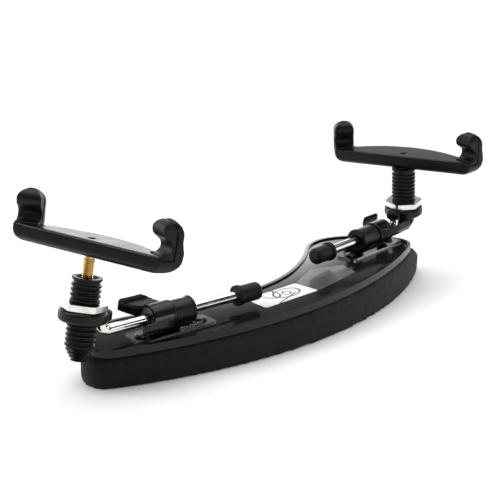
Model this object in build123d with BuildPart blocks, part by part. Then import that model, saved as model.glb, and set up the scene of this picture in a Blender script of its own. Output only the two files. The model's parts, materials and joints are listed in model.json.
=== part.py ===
from build123d import *
import os
from math import cos, sin, radians

# Violin shoulder rest: a foam-soled crescent base with two sliding rods, each carrying a screw leg
# and a two-pronged fork.  Millimetres, +Z up.  The origin lies on the table under the middle of the
# crescent's waist, +X runs along the crescent from the low end to the high end, and the convex
# shoulder edge faces -Y.

# ---- base ------------------------------------------------------------------------------------
deck_height = 16.0        # top of the plate above the table at x = 0
deck_tilt = 1.5           # the foam is a wedge, so the plate climbs towards +X (degrees)
plate_thickness = 2.4
glue_thickness = 0.4
rim_width = 1.5
rim_height = 0.6
front_radius = 196.0      # convex front edge
front_y = -15.0           # where that edge crosses x = 0
foam_proud = 0.5          # the foam stands out past the plate
foam_end_x = 98.6         # foam tip at the high end
foam_end_drop = 6.5       # how far the free foam end slopes down
foam_edge = 1.2

# ---- rods, clamps ----------------------------------------------------------------------------
rod_height = 6.4          # rod axis above the plate
rod_d = 4.0
bend_radius = 2.8
cap_d = 7.0
cap_length = 11.0
barrel_d = 9.4
spigot_d = 7.0
spigot_length = 6.4
hub_gap = 0.4             # shoulder of the barrel to the wing nut
hub_length = 9.2
hub_wall = 1.4            # end wall of the wing nut
hub_d = 10.6
wing_reach = 9.6
wing_flare = 8.0          # wings sweep out past the nut's end face
bore_play = 0.05          # radial running clearance of every turning or sliding fit

# ---- legs ------------------------------------------------------------------------------------
leg_offset = 7.6          # rod upright to screw axis
collar_height = 4.2
collar_d = 17.2
eye_thickness = 1.4
nut_flats = 14.8
nut_height = 2.2
nut_gap = 0.35
leg_d = 10.6              # threaded leg, outside
leg_root_d = 9.2
leg_pitch = 1.75
leg_thread = 24.5
leg_tip = 5.0             # tapered lower end
stud_d = 4.0
stud_root_d = 3.12
stud_pitch = 0.7
stud_length = 26.0        # below the fork
insert_d = 6.6
insert_length = 8.0

# ---- forks -----------------------------------------------------------------------------------
bar_thick = 6.0
bar_half = 27.0          # the feet of the prongs carry on from here
bar_front = 4.4
bar_back = 4.2
bar_bulge = 6.4           # extra width behind the stud
prong_x = 28.8
prong_turn = 26.5         # each prong is turned towards the middle
prong_width = 9.2
prong_back = 6.0
heel = 6.5                # radius at the foot of the prong, behind and beside it
side_round = 4.4
prong_height = 18.4
pad_width = 8.7
throat = 4.8              # gap that takes the edge of the instrument

# ---- where each side stands ------------------------------------------------------------------
# elbow point on the plate, heading of the outward rod, sideways and inward lean of the leg, collar
# above the rod, length of the rod behind the elbow, clamp inner face behind the elbow, its barrel,
# turn of the wing nut, leg top above the collar, stud shown above the leg, heading of the hooks'
# opening, turn of the lock nut
left = dict(elbow=(-94.4, 13.7), heading=169.0, lean=-1.2, inward=12.0, rise=6.2, rod=67.0, clamp=-37.5,
            barrel=8.4, wing=-15.0, top=13.4, stud=7.4, face=-169.0, nut=24.0)
right = dict(elbow=(78.6, 11.4), heading=1.0, lean=-2.4, inward=5.5, rise=5.8, rod=57.5, clamp=-29.5,
             barrel=11.4, wing=0.0, top=20.0, stud=0.7, face=-165.5, nut=12.0)

tilt = radians(deck_tilt)
deck = Plane(origin=(0, 0, deck_height), x_dir=(cos(tilt), 0, sin(tilt)), z_dir=(-sin(tilt), 0, cos(tilt)))

os.makedirs("parts", exist_ok=True)


def save(part, label):
    part.label = label
    export_step(part, "parts/" + label + ".step")


def along(angle):
    # unit vector in the plate's plane
    return deck.x_dir * cos(radians(angle)) + deck.y_dir * sin(radians(angle))


def rod_plane(side, lean=0.0):
    # origin on the rod axis below the upright, x outward along the rod, z up with the lean
    out = along(side["heading"])
    point = deck.origin + deck.x_dir * side["elbow"][0] + deck.y_dir * side["elbow"][1]
    point = point + deck.z_dir * rod_height
    up = deck.z_dir * cos(radians(lean)) + deck.z_dir.cross(out) * sin(radians(lean))
    return Plane(origin=point, x_dir=out, z_dir=up)


def leg_plane(side, height=0.0):
    # origin on the screw axis, level with the middle of the collar when height is 0
    base = rod_plane(side, side["lean"])
    bend = radians(side["inward"])
    up = base.z_dir * cos(bend) - base.x_dir * sin(bend)
    out = base.x_dir * cos(bend) + base.z_dir * sin(bend)
    return Plane(origin=base.origin + out * leg_offset + up * (side["rise"] + height), x_dir=out, z_dir=up)


def fork_plane(side):
    # under face of the fork bar on the screw axis, y towards the hooks' opening
    base = leg_plane(side, side["top"] + side["stud"])
    return Plane(origin=base.origin, x_dir=along(side["face"] - 90), z_dir=base.z_dir)


def across(plane, shift=0.0):
    # the same place with z along the old x axis, so that turned parts lie along the rod
    return Plane(origin=plane.origin + plane.x_dir * shift, x_dir=plane.y_dir, z_dir=plane.x_dir)


def thread_points(outer, root, pitch, low, high):
    # half profile of a row of ridges from low to high, as (radius, height)
    points = []
    turns = int((high - low) / pitch)
    for i in range(turns):
        z = low + i * pitch
        points.append((root, z))
        points.append((outer, z + pitch * 0.30))
        points.append((outer, z + pitch * 0.55))
        points.append((root, z + pitch * 0.85))
    points.append((root, high))
    return points


def tip_points(radius, low):
    # half profile of the blunt toothed cone below the thread, climbing from low
    points = []
    for i in range(4):
        r, z = radius + 0.7 * i, low + 1.25 * i
        points.append((r, z))
        points.append((r + 0.95, z + 0.25))
        points.append((r + 0.55, z + 1.0))
    return points


# ---- crescent outlines -----------------------------------------------------------------------
def front_point(x, grow=0.0):
    radius = front_radius + grow
    return (x, front_y + front_radius - (radius ** 2 - x ** 2) ** 0.5)


plate_back = [(80.4, 6.8), (79.0, 16.5), (69.8, 30.0), (57.0, 37.4), (49.0, 37.0), (36.0, 29.5),
              (22.0, 21.8), (6.0, 16.2), (-11.0, 14.4), (-30.0, 16.6), (-48.0, 22.4), (-64.0, 29.0),
              (-76.0, 32.2), (-88.0, 28.6), (-95.6, 20.5), (-96.6, 13.6)]
foam_back = [(97.6, 12.5), (95.0, 20.0), (82.0, 29.0), (69.0, 35.0), (57.0, 37.9), (49.0, 37.3),
             (36.0, 29.8), (22.0, 22.1), (6.0, 16.5), (-11.0, 14.7), (-30.0, 16.9), (-48.0, 22.7),
             (-64.0, 29.3), (-76.0, 32.5), (-88.8, 29.0), (-97.2, 21.5), (-98.4, 14.2)]


def inset(points, amount):
    # moves the points of a counter-clockwise chain towards the inside, square to the chain
    moved = []
    for i, here in enumerate(points):
        before = points[max(i - 1, 0)]
        after = points[min(i + 1, len(points) - 1)]
        run = Vector(after[0] - before[0], after[1] - before[1]).normalized()
        moved.append((here[0] - run.Y * amount, here[1] + run.X * amount))
    return moved


def crescent(start_x, end_x, back, grow):
    # closed outline: circular front edge, then one smooth curve round both horns
    first = front_point(start_x, grow)
    last = front_point(end_x, grow)
    with BuildLine(mode=Mode.PRIVATE) as line:
        ThreePointArc(first, front_point(0, grow), last)
        Spline([last] + back + [first])
    return line.line


plate_outline = crescent(-93.5, 75.5, plate_back, 0.0)
field_outline = crescent(-92.0, 74.0, inset(plate_back, rim_width), -rim_width)
foam_outline = crescent(-94.6, 93.0, foam_back, foam_proud)

# foam sole: a wedge cut off by the underside of the plate, its free end sloping down
with BuildPart() as foam_pad:
    with BuildSketch(Plane.XY):
        with BuildLine():
            add(foam_outline)
        make_face()
    extrude(amount=30)
    split(bisect_by=deck.offset(-plate_thickness - glue_thickness), keep=Keep.BOTTOM)
    slope = Plane(origin=(81.0, 0, deck_height - 0.8), x_dir=(14, 0, -foam_end_drop), z_dir=(foam_end_drop, 0, 14))
    split(bisect_by=slope, keep=Keep.BOTTOM)
save(foam_pad.part, "foam_pad")

# glue film that bonds the foam to the plate
with BuildPart() as glue_film:
    with BuildSketch(deck.offset(-plate_thickness - glue_thickness)):
        with BuildLine():
            add(field_outline)
        make_face()
    extrude(amount=glue_thickness)
save(glue_film.part, "glue_film")

# base plate with a raised rim
with BuildPart() as base_plate:
    with BuildSketch(deck.offset(-plate_thickness)):
        with BuildLine():
            add(plate_outline)
        make_face()
    extrude(amount=plate_thickness + rim_height)
    with BuildSketch(deck):
        with BuildLine():
            add(field_outline)
        make_face()
    extrude(amount=rim_height, mode=Mode.SUBTRACT)
save(base_plate.part, "base_plate")


# ---- printed sheet on the plate, in two tones --------------------------------------------------
def sheet(corners, label):
    with BuildPart() as piece:
        with BuildSketch(deck):
            Polygon(*corners, align=None)
        extrude(amount=0.12)
        fillet(piece.edges().filter_by(lambda e: e.length < 0.2), radius=1.0)
    save(piece.part, label)


sheet([(-27.0, -3.4), (1.6, -6.0), (2.4, 6.6), (-24.6, 9.2)], "label_picture")
sheet([(2.1, -6.0), (29.5, -3.8), (33.8, 6.4), (20.0, 13.2), (2.9, 6.6)], "label_panel")


# ---- hardware fixed to the plate under each rod ------------------------------------------------
bracket_tail = 17.1       # strip beyond the barrel's shoulder
bracket_width = 10.8
bracket_thick = 0.9
bracket_overhang = 8.5   # past the inner face of the clamp
rivet_in = 4.0            # rivet centre from each end of the strip
rivet_shank = 2.4
rivet_head = 4.6


def strip_plane(side):
    # on the plate below the rod, x outward, origin under the inner face of the clamp
    base = rod_plane(side)
    return Plane(origin=base.origin + base.x_dir * side["clamp"] - base.z_dir * rod_height,
                 x_dir=base.x_dir, z_dir=base.z_dir)


def make_bracket(side, label):
    floor = strip_plane(side)
    end = side["barrel"] + bracket_tail
    with BuildPart() as piece:
        with BuildSketch(floor):
            with Locations(((end - bracket_overhang) / 2, 0)):
                RectangleRounded(end + bracket_overhang, bracket_width, 2.0)
            with Locations((rivet_in - bracket_overhang, 0), (end - rivet_in, 0)):
                Circle(rivet_shank / 2, mode=Mode.SUBTRACT)
        extrude(amount=bracket_thick)
        # two cheeks rise beside the barrel's foot
        with BuildSketch(floor.offset(bracket_thick)):
            with Locations((3.2, bracket_width / 2 - 0.4), (3.2, 0.4 - bracket_width / 2)):
                Rectangle(10.0, 0.8)
        extrude(amount=1.6)
    save(piece.part, label)


def make_rivets():
    # four identical rivets: shank through the strip, low rounded head above
    with BuildPart() as piece:
        for side in (left, right):
            floor = strip_plane(side)
            ends = [(rivet_in - bracket_overhang, 0), (side["barrel"] + bracket_tail - rivet_in, 0)]
            with BuildSketch(floor):
                with Locations(*ends):
                    Circle(rivet_shank / 2)
            extrude(amount=bracket_thick)
            with BuildSketch(floor.offset(bracket_thick)):
                with Locations(*ends):
                    Circle(rivet_head / 2)
            extrude(amount=0.9)
            top = floor.offset(bracket_thick + 0.9)
            fillet(piece.faces().filter_by(lambda f: abs(top.to_local_coords(f.center()).Z) < 0.01).edges(),
                   radius=0.8)
    save(piece.part, "rivets")


def make_clamp(side, label):
    # barrel on a foot, with a split spigot for the wing nut
    rod = rod_plane(side)
    face = across(rod, side["clamp"])
    floor = strip_plane(side)
    with BuildPart() as piece:
        with BuildSketch(face.offset(1.2)):
            Circle(barrel_d / 2)
        extrude(amount=side["barrel"] - 1.2)
        with BuildSketch(floor.offset(bracket_thick)):
            with Locations((side["barrel"] / 2 + 0.6, 0)):
                Rectangle(side["barrel"] - 1.2, 6.8)
        extrude(amount=rod_height - bracket_thick)
        with BuildSketch(face.offset(side["barrel"])):
            Circle(spigot_d / 2)
        extrude(amount=spigot_length)
        with BuildSketch(face):
            Circle(rod_d / 2 + bore_play)
        extrude(amount=30, mode=Mode.SUBTRACT)
        with BuildSketch(face.offset(side["barrel"] + 1.5)):
            Rectangle(0.8, spigot_d + 2)
            Rectangle(spigot_d + 2, 0.8)
        extrude(amount=10, mode=Mode.SUBTRACT)
    save(piece.part, label)


def make_ferrule(side, label):
    # bright ring round the inner mouth of the barrel
    face = across(rod_plane(side), side["clamp"])
    with BuildPart() as piece:
        with BuildSketch(face):
            Circle(barrel_d / 2 + 0.3)
            Circle(rod_d / 2 + 0.6, mode=Mode.SUBTRACT)
        extrude(amount=1.2)
        chamfer(piece.edges().group_by(SortBy.LENGTH)[-1], length=0.3)
    save(piece.part, label)


def make_grip(side, label):
    # soft ring squeezed on to the rod when the wing nut is turned
    face = across(rod_plane(side), side["clamp"])
    with BuildPart() as piece:
        with BuildSketch(face.offset(side["barrel"] + spigot_length + 0.1)):
            Circle(spigot_d / 2 - 0.2)
            Circle(rod_d / 2 + bore_play, mode=Mode.SUBTRACT)
        extrude(amount=hub_gap + hub_length - hub_wall - spigot_length - 0.2)
    save(piece.part, label)


# both wings seen from above, y outward along the rod from the nut's inner face
with BuildSketch() as wing_plan:
    with BuildLine():
        Polyline((0, 0.4), (4.4, 0.6))
        ThreePointArc((4.4, 0.6), (7.4, 3.4), (wing_reach - 0.2, 8.0))
        Polyline((wing_reach - 0.2, 8.0), (wing_reach + 0.3, hub_length + wing_flare - 1.6),
                 (wing_reach - 1.0, hub_length + wing_flare))
        ThreePointArc((wing_reach - 1.0, hub_length + wing_flare), (6.4, hub_length + 3.4), (4.4, hub_length - 0.3))
        Polyline((4.4, hub_length - 0.3), (0, hub_length - 0.3), (0, 0.4))
    make_face()
    mirror(about=Plane.YZ)

# the same wings seen along the rod: hollowed on top and bowed up at the tips
with BuildSketch() as wing_front:
    with BuildLine():
        Polyline((0, -2.4), (3.6, -2.4))
        ThreePointArc((3.6, -2.4), (7.4, -0.5), (wing_reach + 0.2, 2.6))
        Polyline((wing_reach + 0.2, 2.6), (wing_reach + 0.4, 4.6), (wing_reach - 0.6, 5.0))
        ThreePointArc((wing_reach - 0.6, 5.0), (6.2, 2.9), (3.4, 3.6))
        Polyline((3.4, 3.6), (0, 3.6), (0, -2.4))
    make_face()
    mirror(about=Plane.YZ)


def make_wing_nut(side, label):
    # rubber-feel wing nut: hub with a blind bore and two swept wings
    rod = rod_plane(side)
    start = across(rod, side["clamp"] + side["barrel"] + hub_gap)
    spin = radians(side["wing"])
    aside = rod.y_dir * cos(spin) + rod.z_dir * sin(spin)
    front = Plane(origin=start.origin, x_dir=aside, z_dir=rod.x_dir)
    plan = Plane(origin=start.origin, x_dir=aside * -1, z_dir=rod.x_dir.cross(aside))
    with BuildPart() as piece:
        with BuildSketch(front):
            add(wing_front.sketch)
        extrude(amount=hub_length + wing_flare + 1)
        with BuildSketch(plan):
            add(wing_plan.sketch)
        extrude(amount=8, both=True, mode=Mode.INTERSECT)
        with BuildSketch(start):
            Circle(hub_d / 2)
        extrude(amount=hub_length)
        with BuildSketch(start.offset(-2)):
            Circle(spigot_d / 2 + bore_play)
        extrude(amount=hub_length - hub_wall + 2, mode=Mode.SUBTRACT)
        with BuildSketch(start):
            Circle(rod_d / 2 + 0.3)
        extrude(amount=20, mode=Mode.SUBTRACT)
    save(piece.part, label)


def make_wing_ring(side, label):
    # bright washer let into the outer face of the wing nut
    face = across(rod_plane(side), side["clamp"] + side["barrel"] + hub_gap)
    with BuildPart() as piece:
        with BuildSketch(face.offset(hub_length)):
            Circle(4.6)
            Circle(rod_d / 2 + 0.35, mode=Mode.SUBTRACT)
        extrude(amount=0.5)
    save(piece.part, label)


# ---- what slides and turns with each rod -------------------------------------------------------
def make_rod(side, label):
    # straight rod, bend, upright and the flat eye that carries the leg
    rod = rod_plane(side, side["lean"])
    eye = leg_plane(side, -eye_thickness / 2)
    start = rod.origin - rod.x_dir * side["rod"]
    top = rod.origin + eye.z_dir * (side["rise"] + eye_thickness / 2)
    with BuildPart() as piece:
        with BuildLine() as path:
            FilletPolyline(start, rod.origin, top, radius=bend_radius)
        with BuildSketch(across(rod, -side["rod"])):
            Circle(rod_d / 2)
        sweep(path=path.line)
        with BuildSketch(eye):
            Circle(7.4)
            with Locations((-leg_offset, 0)):
                Circle(2.4)
            Circle(leg_d / 2 + 0.6, mode=Mode.SUBTRACT)
        extrude(amount=eye_thickness)
    save(piece.part, label)


def make_cap(side, label):
    # rubber cap on the inner end, with a lip
    face = across(rod_plane(side, side["lean"]), -side["rod"])
    with BuildPart() as piece:
        with BuildSketch(face.offset(-2.0)):
            Circle(cap_d / 2)
        extrude(amount=cap_length)
        with BuildSketch(face.offset(cap_length - 4.0)):
            Circle(cap_d / 2 + 0.5)
        extrude(amount=2.0)
        fillet(piece.edges().group_by(SortBy.LENGTH)[-1], radius=0.4)
        fillet(piece.edges().sort_by(Axis(face.origin, face.z_dir))[0], radius=1.6)
        with BuildSketch(face):
            Circle(rod_d / 2)
        extrude(amount=cap_length + 5, mode=Mode.SUBTRACT)
    save(piece.part, label)


def make_collar(side, label):
    # rubber collar moulded round the eye, with a boss over the upright
    low = leg_plane(side, -collar_height / 2)
    with BuildPart() as piece:
        with BuildSketch(low):
            Circle(collar_d / 2)
            with Locations((-leg_offset, 0)):
                Circle(3.4)
        extrude(amount=collar_height)
        fillet(piece.faces().filter_by(low).edges(), radius=1.3)
        with BuildSketch(low):
            Circle(leg_d / 2 + bore_play)
        extrude(amount=collar_height, mode=Mode.SUBTRACT)
        with BuildSketch(leg_plane(side, -eye_thickness / 2)):
            Circle(7.4)
            with Locations((-leg_offset, 0)):
                Circle(2.4)
            Circle(leg_d / 2 + 0.6, mode=Mode.SUBTRACT)
        extrude(amount=eye_thickness, mode=Mode.SUBTRACT)
        with BuildSketch(low):
            with Locations((-leg_offset, 0)):
                Circle(rod_d / 2 + 0.15)
        extrude(amount=(collar_height + eye_thickness) / 2, mode=Mode.SUBTRACT)
    save(piece.part, label)


def make_ring_nut(side, label):
    # thin hexagonal lock nut above the collar
    seat = leg_plane(side, collar_height / 2 + nut_gap)
    corner = nut_flats / 2 / cos(radians(30))
    with BuildPart() as piece:
        with BuildSketch(seat):
            RegularPolygon(corner, 6, rotation=side["nut"])
            Circle(leg_d / 2 + bore_play, mode=Mode.SUBTRACT)
        extrude(amount=nut_height)
        with BuildSketch(seat):
            Circle(corner - 0.35)
        extrude(amount=nut_height, taper=0, mode=Mode.INTERSECT)
    save(piece.part, label)


def make_leg(side, label):
    # hollow threaded leg with a countersunk mouth and a tapered lower end
    base = leg_plane(side, side["top"] - leg_thread)
    turned = Plane(origin=base.origin, x_dir=base.x_dir, z_dir=-base.y_dir)
    ridges = thread_points(leg_d / 2, leg_root_d / 2, leg_pitch, 0.0, leg_thread - 1.2)
    with BuildPart() as piece:
        with BuildSketch(turned):
            with BuildLine():
                Polyline((0, -leg_tip), *tip_points(1.8, -leg_tip), *ridges, (leg_d / 2, leg_thread - 0.8),
                         (leg_d / 2, leg_thread), (insert_d / 2 + 0.6, leg_thread),
                         (insert_d / 2, leg_thread - 1.2), (insert_d / 2, leg_thread - 1.2 - insert_length),
                         (stud_d / 2 + 0.5, leg_thread - 1.2 - insert_length), (stud_d / 2 + 0.5, -2.6),
                         (0, -2.6), (0, -leg_tip))
            make_face()
        revolve(axis=Axis(base.origin, base.z_dir))
    save(piece.part, label)


def make_insert(side, label):
    # brass bush pressed into the mouth of the leg; it guides the stud
    low = leg_plane(side, side["top"] - 1.1 - insert_length)
    with BuildPart() as piece:
        with BuildSketch(low):
            Circle(insert_d / 2 - bore_play)
            Circle(stud_d / 2 + bore_play, mode=Mode.SUBTRACT)
        extrude(amount=insert_length - 0.1)
    save(piece.part, label)


def make_stud(side, label):
    # brass screw: threaded below the fork, plain where it turns in the fork
    base = leg_plane(side, side["top"] + side["stud"])
    turned = Plane(origin=base.origin, x_dir=base.x_dir, z_dir=-base.y_dir)
    ridges = thread_points(stud_d / 2, stud_root_d / 2, stud_pitch, -stud_length + 0.6, -0.3)
    with BuildPart() as piece:
        with BuildSketch(turned):
            with BuildLine():
                Polyline((0, -stud_length), (stud_root_d / 2 - 0.3, -stud_length), *ridges,
                         (stud_d / 2, -0.3), (stud_d / 2, 4.2), (0, 4.2), (0, -stud_length))
            make_face()
        revolve(axis=Axis(base.origin, base.z_dir))
    save(piece.part, label)


# ---- forks -------------------------------------------------------------------------------------
arch_top = prong_height - prong_width / 2 - 0.12


def prong_seat(end):
    # foot of one prong on the bar: x towards its opening, z up
    turn = radians(prong_turn)
    return Plane(origin=(end * prong_x, 0, 0), x_dir=(-end * sin(turn), cos(turn), 0), z_dir=(0, 0, 1)).location


# J-shaped shell of a prong: foot, round heel, back and hooked top
foot_in = bar_thick - 1.3
half = sin(radians(45))
with BuildSketch() as shell_shape:
    with BuildLine():
        Line((4.5, 0), (heel - prong_back, 0))
        ThreePointArc((heel - prong_back, 0), (heel - prong_back - heel * half, heel * (1 - half)),
                      (-prong_back, heel))
        ThreePointArc((-prong_back, heel), (-5.7, 8.9), (-5.2, 11.2))
        ThreePointArc((-5.2, 11.2), (-4.5, 15.8), (-1.6, prong_height))
        Polyline((-1.6, prong_height), (-0.8, prong_height), (-0.8, 16.6), (-1.6, 16.4))
        ThreePointArc((-1.6, 16.4), (-2.6, 14.4), (-2.8, 11.4))
        Polyline((-2.8, 11.4), (-2.5, 7.0), (-2.5, foot_in), (2.0, foot_in), (2.0, bar_thick),
                 (4.5, bar_thick), (4.5, 0))
    make_face()

# front view of a prong, with its round head
with BuildSketch() as arch_shape:
    with Locations((0, arch_top / 2 - 1)):
        Rectangle(prong_width, arch_top + 2)
    with Locations((0, arch_top)):
        Circle(prong_width / 2)

# liner of a prong: foot, back, throat and round head, without the shell's own section
pad_floor = bar_thick + 0.5
throat_mid = pad_floor + throat / 2
with BuildSketch() as pad_shape:
    with BuildLine():
        Polyline((-2.5, foot_in), (2.0, foot_in), (2.0, pad_floor), (0, pad_floor), (0, 16.2), (-1.6, 16.4))
        ThreePointArc((-1.6, 16.4), (-2.6, 14.4), (-2.8, 11.4))
        Polyline((-2.8, 11.4), (-2.5, 7.0), (-2.5, foot_in))
    make_face()
    with Locations((-0.9, 14.6)):
        Circle(3.3)
    with Locations((0.9, throat_mid)):
        Circle(throat / 2, mode=Mode.SUBTRACT)
    with Locations((4.9, throat_mid)):
        Rectangle(8.0, throat, mode=Mode.SUBTRACT)
    add(shell_shape.sketch, mode=Mode.SUBTRACT)

# what is cleared in front of the bar's face and under its front edge, seen along the bar
with BuildSketch() as edge_shape:
    with BuildLine():
        Polyline((bar_front - 1.5, -0.1), (bar_front + 5, -0.1), (bar_front + 5, bar_thick + 0.01),
                 (bar_front, bar_thick + 0.01), (bar_front, 1.5), (bar_front - 1.5, -0.1))
    make_face()

# rounding under both sides of a foot, seen from the front
side_x = prong_width / 2
with BuildSketch() as side_shape:
    with BuildLine():
        ThreePointArc((side_x - side_round, 0), (side_x - side_round * (1 - half), side_round * (1 - half)),
                      (side_x, side_round))
        Polyline((side_x, side_round), (side_x + 2, side_round), (side_x + 2, -0.1),
                 (side_x - side_round, -0.1), (side_x - side_round, 0))
    make_face()
    mirror(about=Plane.YZ)

with BuildPart() as prong:
    with BuildSketch(Plane.XZ):
        add(shell_shape.sketch)
    extrude(amount=prong_width / 2, both=True)
    with BuildSketch(Plane.YZ):
        add(arch_shape.sketch)
    extrude(amount=12, both=True, mode=Mode.INTERSECT)
    with BuildSketch(Plane.YZ):
        add(side_shape.sketch)
    extrude(amount=12, both=True, mode=Mode.SUBTRACT)

with BuildPart() as liner:
    with BuildSketch(Plane.XZ):
        add(pad_shape.sketch)
    extrude(amount=pad_width / 2, both=True)
    with BuildSketch(Plane.YZ):
        add(arch_shape.sketch)
    extrude(amount=12, both=True, mode=Mode.INTERSECT)


# one fork lying in its own frame: x along the bar, y towards the opening
with BuildPart() as fork:
    with BuildSketch():
        with BuildLine():
            Polyline((-24, -bar_back), (-bar_half - 1.5, -bar_back), (-bar_half, bar_front),
                     (bar_half, bar_front), (bar_half + 1.5, -bar_back), (24, -bar_back))
            ThreePointArc((24, -bar_back), (0, -bar_back - bar_bulge), (-24, -bar_back))
        make_face()
    extrude(amount=bar_thick)
    chamfer(fork.faces().sort_by(Axis.Z)[0].edges(), length=1.0)
    fillet(fork.faces().sort_by(Axis.Z)[-1].edges(), radius=0.7)
    for end in (-1, 1):
        add(prong_seat(end) * prong.part)
        add(prong_seat(end) * liner.part, mode=Mode.SUBTRACT)
    with BuildSketch(Plane.YZ):
        add(edge_shape.sketch)
    extrude(amount=40, both=True, mode=Mode.SUBTRACT)
    with BuildSketch():
        Circle(stud_d / 2 + bore_play)
    extrude(amount=4.5, mode=Mode.SUBTRACT)
    with BuildSketch(Plane.XY.offset(bar_thick - 1.0)):
        Circle(1.3)
    extrude(amount=2.0, mode=Mode.SUBTRACT)


for name, side in (("left", left), ("right", right)):
    make_bracket(side, "bracket_" + name)
    make_clamp(side, "clamp_barrel_" + name)
    make_ferrule(side, "ferrule_" + name)
    make_grip(side, "grip_ring_" + name)
    make_wing_nut(side, "wing_nut_" + name)
    make_wing_ring(side, "wing_washer_" + name)
    make_rod(side, "rod_" + name)
    make_cap(side, "rod_cap_" + name)
    make_collar(side, "collar_" + name)
    make_ring_nut(side, "ring_nut_" + name)
    make_leg(side, "screw_leg_" + name)
    make_insert(side, "insert_" + name)
    make_stud(side, "stud_" + name)
    seat = fork_plane(side).location
    save(seat * fork.part, "fork_" + name)
    save(seat * prong_seat(1) * liner.part, "hook_pad_a_" + name)
    save(seat * prong_seat(-1) * liner.part, "hook_pad_b_" + name)
make_rivets()
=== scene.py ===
import json
import bpy
import bmesh
from math import radians
from mathutils import Matrix, Vector


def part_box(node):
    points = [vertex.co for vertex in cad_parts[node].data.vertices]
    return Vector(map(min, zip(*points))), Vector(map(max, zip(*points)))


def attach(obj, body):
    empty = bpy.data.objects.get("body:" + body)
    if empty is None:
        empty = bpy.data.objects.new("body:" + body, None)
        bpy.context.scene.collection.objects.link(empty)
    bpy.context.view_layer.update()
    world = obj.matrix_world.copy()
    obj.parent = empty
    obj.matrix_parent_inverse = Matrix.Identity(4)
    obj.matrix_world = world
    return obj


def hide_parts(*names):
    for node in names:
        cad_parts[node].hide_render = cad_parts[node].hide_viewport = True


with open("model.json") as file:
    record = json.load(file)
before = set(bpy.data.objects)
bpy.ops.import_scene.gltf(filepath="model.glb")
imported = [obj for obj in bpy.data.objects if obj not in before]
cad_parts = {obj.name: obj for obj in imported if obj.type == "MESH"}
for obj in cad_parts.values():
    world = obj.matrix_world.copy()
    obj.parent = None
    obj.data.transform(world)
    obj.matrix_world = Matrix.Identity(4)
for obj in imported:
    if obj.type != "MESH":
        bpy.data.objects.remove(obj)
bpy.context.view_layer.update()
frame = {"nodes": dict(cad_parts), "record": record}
nodes = frame["nodes"]
SIDES = ("left", "right")

METRE = 1000.0             # in millimetres
CROWN_RADIUS = 0.172       # a line about midway across the crescent
CROWN_CENTRE_Y = 0.181
CROWN_CURVE = 3.6          # 1/m
DRAWING_SCALE = 620.0      # drawing units per metre on the white panel
PEN = 0.22                 # half a line's width, in drawing units
FINE_PEN = 0.20
FOAM_VOXEL = 0.0010
MOULDED_VOXEL = 0.0003
SOLE_FLAT = 0.0003         # foam lower than this lies flat
FLOOR_SIZE = 4.0
FLOOR_DROP = 0.0002
LIGHT_AIM = (0, 0, 0.03)
CAMERA_PLACE = (-0.3260, -0.2644, 0.1520)
CAMERA_VIEW = (0.7144, 0.6433, -0.2753)
CAMERA_LENS = 79.2
CAMERA_SENSOR = 36.0


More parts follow.
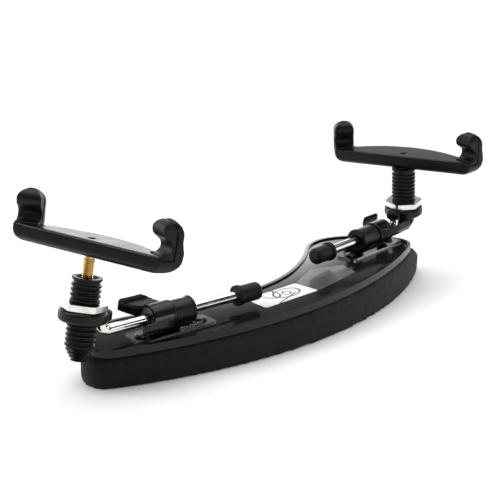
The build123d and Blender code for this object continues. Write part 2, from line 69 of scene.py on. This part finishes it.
# ---------------------------------------------------------------- materials
class Shader:
    """A Principled material with short calls for the procedural nodes that feed it."""

    def __init__(self, name, **sockets):
        self.mat = bpy.data.materials.new(name)
        self.mat.use_nodes = True
        self.tree = self.mat.node_tree
        self.bsdf = self.tree.nodes["Principled BSDF"]
        for key, value in sockets.items():
            self.bsdf.inputs[key.replace("_", " ")].default_value = value
        self.coord = self.node("ShaderNodeTexCoord").outputs["Object"]
        self.bumped = None

    def node(self, kind, **props):
        n = self.tree.nodes.new(kind)
        for key, value in props.items():
            setattr(n, key, value)
        return n

    def link(self, a, b):
        self.tree.links.new(a, b)

    def scaled(self, stretch):
        m = self.node("ShaderNodeMapping")
        m.inputs["Scale"].default_value = stretch
        self.link(self.coord, m.inputs["Vector"])
        return m.outputs["Vector"]

    def noise(self, size_mm, detail=4.0, rough=0.55, stretch=(1, 1, 1), distort=0.0):
        n = self.node("ShaderNodeTexNoise")
        n.inputs["Scale"].default_value = METRE / size_mm
        n.inputs["Detail"].default_value = detail
        n.inputs["Roughness"].default_value = rough
        n.inputs["Distortion"].default_value = distort
        self.link(self.scaled(stretch), n.inputs["Vector"])
        return n.outputs["Fac"]

    def cells(self, size_mm):
        n = self.node("ShaderNodeTexVoronoi", feature="F1")
        n.inputs["Scale"].default_value = METRE / size_mm
        self.link(self.coord, n.inputs["Vector"])
        return n.outputs["Distance"]

    def ramp(self, value, stops):
        n = self.node("ShaderNodeValToRGB")
        r = n.color_ramp
        while len(r.elements) < len(stops):
            r.elements.new(0.5)
        for e, (pos, col) in zip(r.elements, stops):
            e.position = pos
            e.color = (*col, 1) if isinstance(col, tuple) else (col, col, col, 1)
        self.link(value, n.inputs["Fac"])
        return n.outputs["Color"]

    def colour(self, value, stops):
        self.link(self.ramp(value, stops), self.bsdf.inputs["Base Color"])

    def rough(self, value, low, high):
        n = self.node("ShaderNodeMapRange")
        n.inputs["From Min"].default_value = 0.3
        n.inputs["From Max"].default_value = 0.7
        n.inputs["To Min"].default_value = low
        n.inputs["To Max"].default_value = high
        self.link(value, n.inputs["Value"])
        self.link(n.outputs["Result"], self.bsdf.inputs["Roughness"])

    def bump(self, value, depth_mm, strength=1.0):
        n = self.node("ShaderNodeBump")
        n.inputs["Strength"].default_value = strength
        n.inputs["Distance"].default_value = depth_mm / METRE
        self.link(value, n.inputs["Height"])
        if self.bumped is not None:
            self.link(self.bumped, n.inputs["Normal"])
        self.bumped = n.outputs["Normal"]
        self.link(self.bumped, self.bsdf.inputs["Normal"])

    def crown(self):
        """A slight crown across the crescent, so the reflection falls off towards its convex edge."""
        pos = self.node("ShaderNodeVectorMath", operation="SUBTRACT")
        self.link(self.coord, pos.inputs[0])
        pos.inputs[1].default_value = (0.0, CROWN_CENTRE_Y, 0.0)
        flat = self.node("ShaderNodeVectorMath", operation="MULTIPLY")
        self.link(pos.outputs[0], flat.inputs[0])
        flat.inputs[1].default_value = (1.0, 1.0, 0.0)
        reach = self.node("ShaderNodeVectorMath", operation="LENGTH")
        self.link(flat.outputs[0], reach.inputs[0])
        off = self.node("ShaderNodeMath", operation="SUBTRACT")
        self.link(reach.outputs["Value"], off.inputs[0])
        off.inputs[1].default_value = CROWN_RADIUS
        square = self.node("ShaderNodeMath", operation="MULTIPLY")
        self.link(off.outputs[0], square.inputs[0])
        self.link(off.outputs[0], square.inputs[1])
        height = self.node("ShaderNodeMath", operation="MULTIPLY")
        self.link(square.outputs[0], height.inputs[0])
        height.inputs[1].default_value = -CROWN_CURVE
        self.bump(height.outputs[0], METRE)


def moulded(name, dark, light, low, high, grain, depth, **sockets):
    """Moulded plastic or rubber: cloudy tone, a fine grain and a slight waviness."""
    s = Shader(name, **sockets)
    cloud = s.noise(9.0, 5.0, 0.6)
    s.colour(cloud, [(0.30, dark), (0.72, light)])
    s.rough(s.noise(6.0, 3.0, 0.5), low, high)
    s.bump(s.noise(grain, 3.0, 0.6), depth)
    s.bump(s.noise(7.0, 2.0, 0.4), depth * 2.2, 0.5)
    return s.mat


def plated(name, base, tint, low, high):
    """Polished metal with faint drawn lines, smudges and a slightly uneven tone."""
    s = Shader(name, Metallic=1.0)
    s.colour(s.noise(5.0, 5.0, 0.6), [(0.32, base), (0.70, tint)])
    s.rough(s.noise(1.8, 6.0, 0.7, distort=0.6), low, high)
    s.bump(s.noise(0.7, 3.0, 0.5, stretch=(0.25, 1.6, 1.6)), 0.006, 0.6)
    return s.mat


def blackened_strip():
    """Black enamelled steel strip whose narrow cut edges are bare and bright."""
    s = Shader("strip_black_bare_edge", Metallic=1.0)
    face = s.node("ShaderNodeNewGeometry")
    z = s.node("ShaderNodeSeparateXYZ")
    s.link(face.outputs["True Normal"], z.inputs[0])
    side = s.node("ShaderNodeMath", operation="ABSOLUTE")
    s.link(z.outputs["Z"], side.inputs[0])
    s.colour(side.outputs[0], [(0.30, (0.85, 0.83, 0.79)), (0.55, (0.012, 0.012, 0.013))])
    s.rough(s.noise(4.0, 3.0, 0.5), 0.18, 0.30)
    return s.mat


def foam_skin():
    s = Shader("foam_closed_cell", Roughness=0.93, Sheen_Weight=0.06, Sheen_Roughness=0.5)
    s.bsdf.inputs["Specular IOR Level"].default_value = 0.25
    s.colour(s.noise(3.2, 8.0, 0.72), [(0.28, (0.0065, 0.0046, 0.0045)), (0.52, (0.0110, 0.0080, 0.0076)),
                                      (0.78, (0.0185, 0.0140, 0.0130))])
    s.bump(s.cells(0.75), 0.16, 0.85)
    s.bump(s.noise(0.38, 4.0, 0.7), 0.10, 0.8)
    s.bump(s.noise(4.5, 3.0, 0.5), 0.25, 0.5)
    return s.mat


def gloss_plate():
    s = Shader("plate_gloss_black", Specular_IOR_Level=0.28)
    s.colour(s.noise(14.0, 4.0, 0.6), [(0.3, (0.0045, 0.0045, 0.0048)), (0.75, (0.0085, 0.0085, 0.009))])
    s.rough(s.noise(6.0, 8.0, 0.72, distort=0.8), 0.10, 0.22)
    s.bump(s.noise(26.0, 2.0, 0.4), 0.03, 0.3)
    s.crown()
    return s.mat


def picture_panel():
    """White printed panel with a plain line drawing of round shapes and strokes."""
    s = Shader("label_picture_print", Roughness=0.42)
    lo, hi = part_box("label_picture")
    cx, cy = (lo[0] + hi[0]) / 2.0, (lo[1] + hi[1]) / 2.0
    pos = s.node("ShaderNodeSeparateXYZ")
    s.link(s.coord, pos.inputs[0])

    def math(op, a, b=None):
        n = s.node("ShaderNodeMath", operation=op)
        for i, v in enumerate((a, b)):
            if v is None:
                continue
            if isinstance(v, (int, float)):
                n.inputs[i].default_value = v
            else:
                s.link(v, n.inputs[i])
        return n.outputs[0]

    x = math("MULTIPLY", math("SUBTRACT", pos.outputs["X"], cx), DRAWING_SCALE)
    y = math("MULTIPLY", math("SUBTRACT", pos.outputs["Y"], cy), DRAWING_SCALE)

    def ring(px, py, r, w, sx=1.0, sy=1.0):
        dx = math("MULTIPLY", math("SUBTRACT", x, px), sx)
        dy = math("MULTIPLY", math("SUBTRACT", y, py), sy)
        d = math("SQRT", math("ADD", math("MULTIPLY", dx, dx), math("MULTIPLY", dy, dy)))
        return math("LESS_THAN", math("ABSOLUTE", math("SUBTRACT", d, r)), w)

    def stroke(px, py, half, w, slope):
        dx = math("SUBTRACT", x, px)
        dy = math("SUBTRACT", math("SUBTRACT", y, py), math("MULTIPLY", dx, slope))
        near = math("LESS_THAN", math("ABSOLUTE", dy), w)
        return math("MULTIPLY", near, math("LESS_THAN", math("ABSOLUTE", dx), half))

    ink = ring(-1.6, 2.4, 2.3, PEN, 1.0, 0.8)
    for part in (ring(2.2, 0.2, 3.0, PEN, 0.75, 1.15), ring(2.2, 0.2, 1.1, FINE_PEN),
                 stroke(-0.4, -2.4, 4.2, PEN, 0.25), stroke(-1.2, -4.6, 3.4, FINE_PEN, -0.12),
                 stroke(0.6, 3.2, 2.6, FINE_PEN, 0.9)):
        ink = math("MAXIMUM", ink, part)
    mix = s.node("ShaderNodeMix", data_type="RGBA")
    s.link(ink, mix.inputs["Factor"])
    s.link(s.ramp(s.noise(4.0), [(0.3, (0.70, 0.70, 0.69)), (0.7, (0.78, 0.78, 0.77))]), mix.inputs["A"])
    mix.inputs["B"].default_value = (0.03, 0.03, 0.034, 1)
    s.link(mix.outputs["Result"], s.bsdf.inputs["Base Color"])
    s.bump(s.noise(0.5), 0.01)
    return s.mat


def plain_panel():
    s = Shader("label_panel_print", Coat_Weight=0.4, Coat_Roughness=0.12)
    s.colour(s.noise(5.0, 4.0), [(0.3, (0.045, 0.047, 0.053)), (0.7, (0.062, 0.065, 0.073))])
    s.rough(s.noise(3.0, 5.0), 0.25, 0.38)
    s.crown()
    return s.mat


look = {
    "foam": foam_skin(),
    "adhesive": moulded("glue_film_dry", (0.05, 0.045, 0.035), (0.09, 0.08, 0.06), 0.45, 0.6, 0.8, 0.02),
    "plate": gloss_plate(),
    "label_white": picture_panel(),
    "label_grey": plain_panel(),
    "nickel": plated("nickel_bright", (0.70, 0.68, 0.64), (0.86, 0.84, 0.80), 0.10, 0.24),
    "strip": blackened_strip(),
    "dark_metal": plated("steel_blackened", (0.035, 0.035, 0.037), (0.075, 0.074, 0.072), 0.20, 0.36),
    "barrel": moulded("barrel_plastic", (0.0040, 0.0041, 0.0044), (0.0080, 0.0080, 0.0086),
                      0.28, 0.42, 0.5, 0.008, Specular_IOR_Level=0.25),
    "wing": moulded("wing_nut_plastic", (0.0032, 0.0032, 0.0036), (0.0064, 0.0064, 0.0070),
                    0.22, 0.36, 0.5, 0.006, Specular_IOR_Level=0.28),
    "cap_rubber": moulded("cap_rubber", (0.0030, 0.0030, 0.0031), (0.0060, 0.0060, 0.0062),
                          0.40, 0.55, 0.45, 0.015, Specular_IOR_Level=0.2),
    "collar_rubber": moulded("collar_rubber", (0.0030, 0.0030, 0.0032), (0.0058, 0.0058, 0.0062),
                             0.30, 0.46, 0.45, 0.015, Specular_IOR_Level=0.25),
    "leg": moulded("leg_plastic", (0.0028, 0.0028, 0.0030), (0.0055, 0.0055, 0.0058),
                   0.30, 0.46, 0.4, 0.010, Specular_IOR_Level=0.22),
    "grip": moulded("grip_plastic", (0.10, 0.10, 0.098), (0.15, 0.15, 0.147), 0.4, 0.55, 0.5, 0.02),
    "brass": plated("stud_brass", (0.55, 0.33, 0.09), (0.76, 0.50, 0.18), 0.14, 0.28),
    "fork": moulded("fork_plastic", (0.0030, 0.0027, 0.0028), (0.0056, 0.0050, 0.0052),
                    0.27, 0.34, 0.9, 0.0006, Specular_IOR_Level=0.22),
    "hook_rubber": moulded("hook_rubber", (0.0036, 0.0034, 0.0036), (0.0068, 0.0064, 0.0066),
                           0.36, 0.50, 0.4, 0.008, Specular_IOR_Level=0.22),
}
for part in frame["record"]["subparts"]:
    o = nodes[part["node"]]
    if not o.material_slots:
        o.data.materials.append(None)
    for s in o.material_slots:
        s.material = look[part["material_slot"]]


# ---------------------------------------------------------------- foam and moulded pieces
def reworked(name, node, body, finish, steps):
    """A copy of a CAD node, put through some modifiers, that stands for the node."""
    piece = bpy.data.objects.new(name, nodes[node].data.copy())
    bpy.context.scene.collection.objects.link(piece)
    for kind, props in steps:
        m = piece.modifiers.new(kind.lower(), kind)
        for key, value in props.items():
            setattr(m, key, value)
    bpy.context.view_layer.update()
    ready = bpy.data.meshes.new_from_object(piece.evaluated_get(bpy.context.evaluated_depsgraph_get()))
    piece.modifiers.clear()
    piece.data = ready
    for p in ready.polygons:
        p.use_smooth = True
    ready.materials.clear()
    ready.materials.append(look[finish])
    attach(piece, body)
    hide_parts(node)
    return piece


def rounded(voxel, rounds):
    """Steps that round every arris, as it leaves a mould or a foam cutter."""
    return [("REMESH", dict(mode="VOXEL", voxel_size=voxel)), ("SMOOTH", dict(factor=0.5, iterations=rounds))]


def make_foam():
    """The foam strip, as cut foam: softened arrises and a slightly uneven skin."""
    uneven = bpy.data.textures.new("foam_uneven", "CLOUDS")
    uneven.noise_scale = 0.006
    skin = ("DISPLACE", dict(texture=uneven, strength=0.00035, mid_level=0.5))
    foam = reworked("foam_sole", "foam_pad", "base", "foam", rounded(FOAM_VOXEL, 5) + [skin])
    for v in foam.data.vertices:
        if v.co.z < SOLE_FLAT:
            v.co.z = 0.0


def soften(node, rounds, body, finish):
    """A moulded piece again, with its arrises rounded."""
    reworked(node + "_moulded", node, body, finish, rounded(MOULDED_VOXEL, rounds))


make_foam()
for side in SIDES:
    soften("fork_" + side, 14, "fork_" + side, "fork")
    soften("wing_nut_" + side, 4, "wing_" + side, "wing")
    for end in ("a", "b"):
        soften("hook_pad_%s_%s" % (end, side), 6, "fork_" + side, "hook_rubber")

# ---------------------------------------------------------------- floor, light, camera
me = bpy.data.meshes.new("floor")
bm = bmesh.new()
bmesh.ops.create_grid(bm, x_segments=1, y_segments=1, size=FLOOR_SIZE)
bm.to_mesh(me)
bm.free()
floor = bpy.data.objects.new("floor", me)
floor.location.z = -FLOOR_DROP
bpy.context.scene.collection.objects.link(floor)
paper = Shader("floor_paper", Roughness=0.75)
paper.colour(paper.noise(60.0, 3.0), [(0.3, (0.90, 0.90, 0.90)), (0.7, (0.92, 0.92, 0.92))])
paper.bsdf.inputs["Specular IOR Level"].default_value = 0.2
me.materials.append(paper.mat)

# a pale sweep low in front of the camera, falling off upwards and behind it
world = bpy.data.worlds.new("studio")
world.use_nodes = True
sky = world.node_tree
view = sky.nodes.new("ShaderNodeTexCoord")
split = sky.nodes.new("ShaderNodeSeparateXYZ")
sky.links.new(view.outputs["Generated"], split.inputs[0])
fade = sky.nodes.new("ShaderNodeValToRGB")
tones = fade.color_ramp
tones.elements[0].color = (1, 1, 1, 1)
tones.elements[-1].color = (0.20, 0.20, 0.20, 1)
for height, tone in ((0.20, 0.95), (0.38, 0.14), (0.60, 0.08)):
    tones.elements.new(height).color = (tone, tone, tone, 1)
sky.links.new(split.outputs["Z"], fade.inputs["Fac"])
facing = sky.nodes.new("ShaderNodeVectorMath")
facing.operation = "DOT_PRODUCT"
sky.links.new(view.outputs["Generated"], facing.inputs[0])
facing.inputs[1].default_value = (0.743, 0.669, 0.0)
sweep = sky.nodes.new("ShaderNodeMapRange")
sweep.inputs["From Min"].default_value = -0.25
sweep.inputs["From Max"].default_value = 0.55
sweep.inputs["To Min"].default_value = 0.06
sweep.inputs["To Max"].default_value = 3.0
sky.links.new(facing.outputs["Value"], sweep.inputs["Value"])
sky.links.new(fade.outputs["Color"], sky.nodes["Background"].inputs["Color"])
sky.links.new(sweep.outputs["Result"], sky.nodes["Background"].inputs["Strength"])
bpy.context.scene.world = world
bpy.context.scene.view_settings.view_transform = "Standard"


def lamp(kind, name, place, target, power, **props):
    data = bpy.data.lights.new(name, kind)
    data.energy = power
    for key, value in props.items():
        setattr(data, key, value)
    o = bpy.data.objects.new(name, data)
    bpy.context.scene.collection.objects.link(o)
    o.location = place
    o.rotation_euler = (Vector(target) - Vector(place)).to_track_quat("-Z", "Y").to_euler()


lamp("SUN", "sky_panel", (0.1, 0.1, 1.0), (0, 0, 0), 2.6, angle=radians(75))
lamp("AREA", "key", (-0.55, 0.35, 0.50), LIGHT_AIM, 2.2, shape="RECTANGLE", size=0.45, size_y=0.30)
lamp("AREA", "front_strip", (-0.10, -0.70, 0.28), LIGHT_AIM, 1.0, shape="RECTANGLE", size=0.60, size_y=0.12)

cam = bpy.data.objects.new("camera", bpy.data.cameras.new("camera"))
bpy.context.scene.collection.objects.link(cam)
cam.data.lens = CAMERA_LENS
cam.data.sensor_width = CAMERA_SENSOR
forward = Vector(CAMERA_VIEW).normalized()
right = forward.cross(Vector((0, 0, 1))).normalized()
up = right.cross(forward)
turn = Matrix((right, up, -forward)).transposed()
cam.matrix_world = Matrix.Translation(CAMERA_PLACE) @ turn.to_4x4()
bpy.context.scene.camera = cam
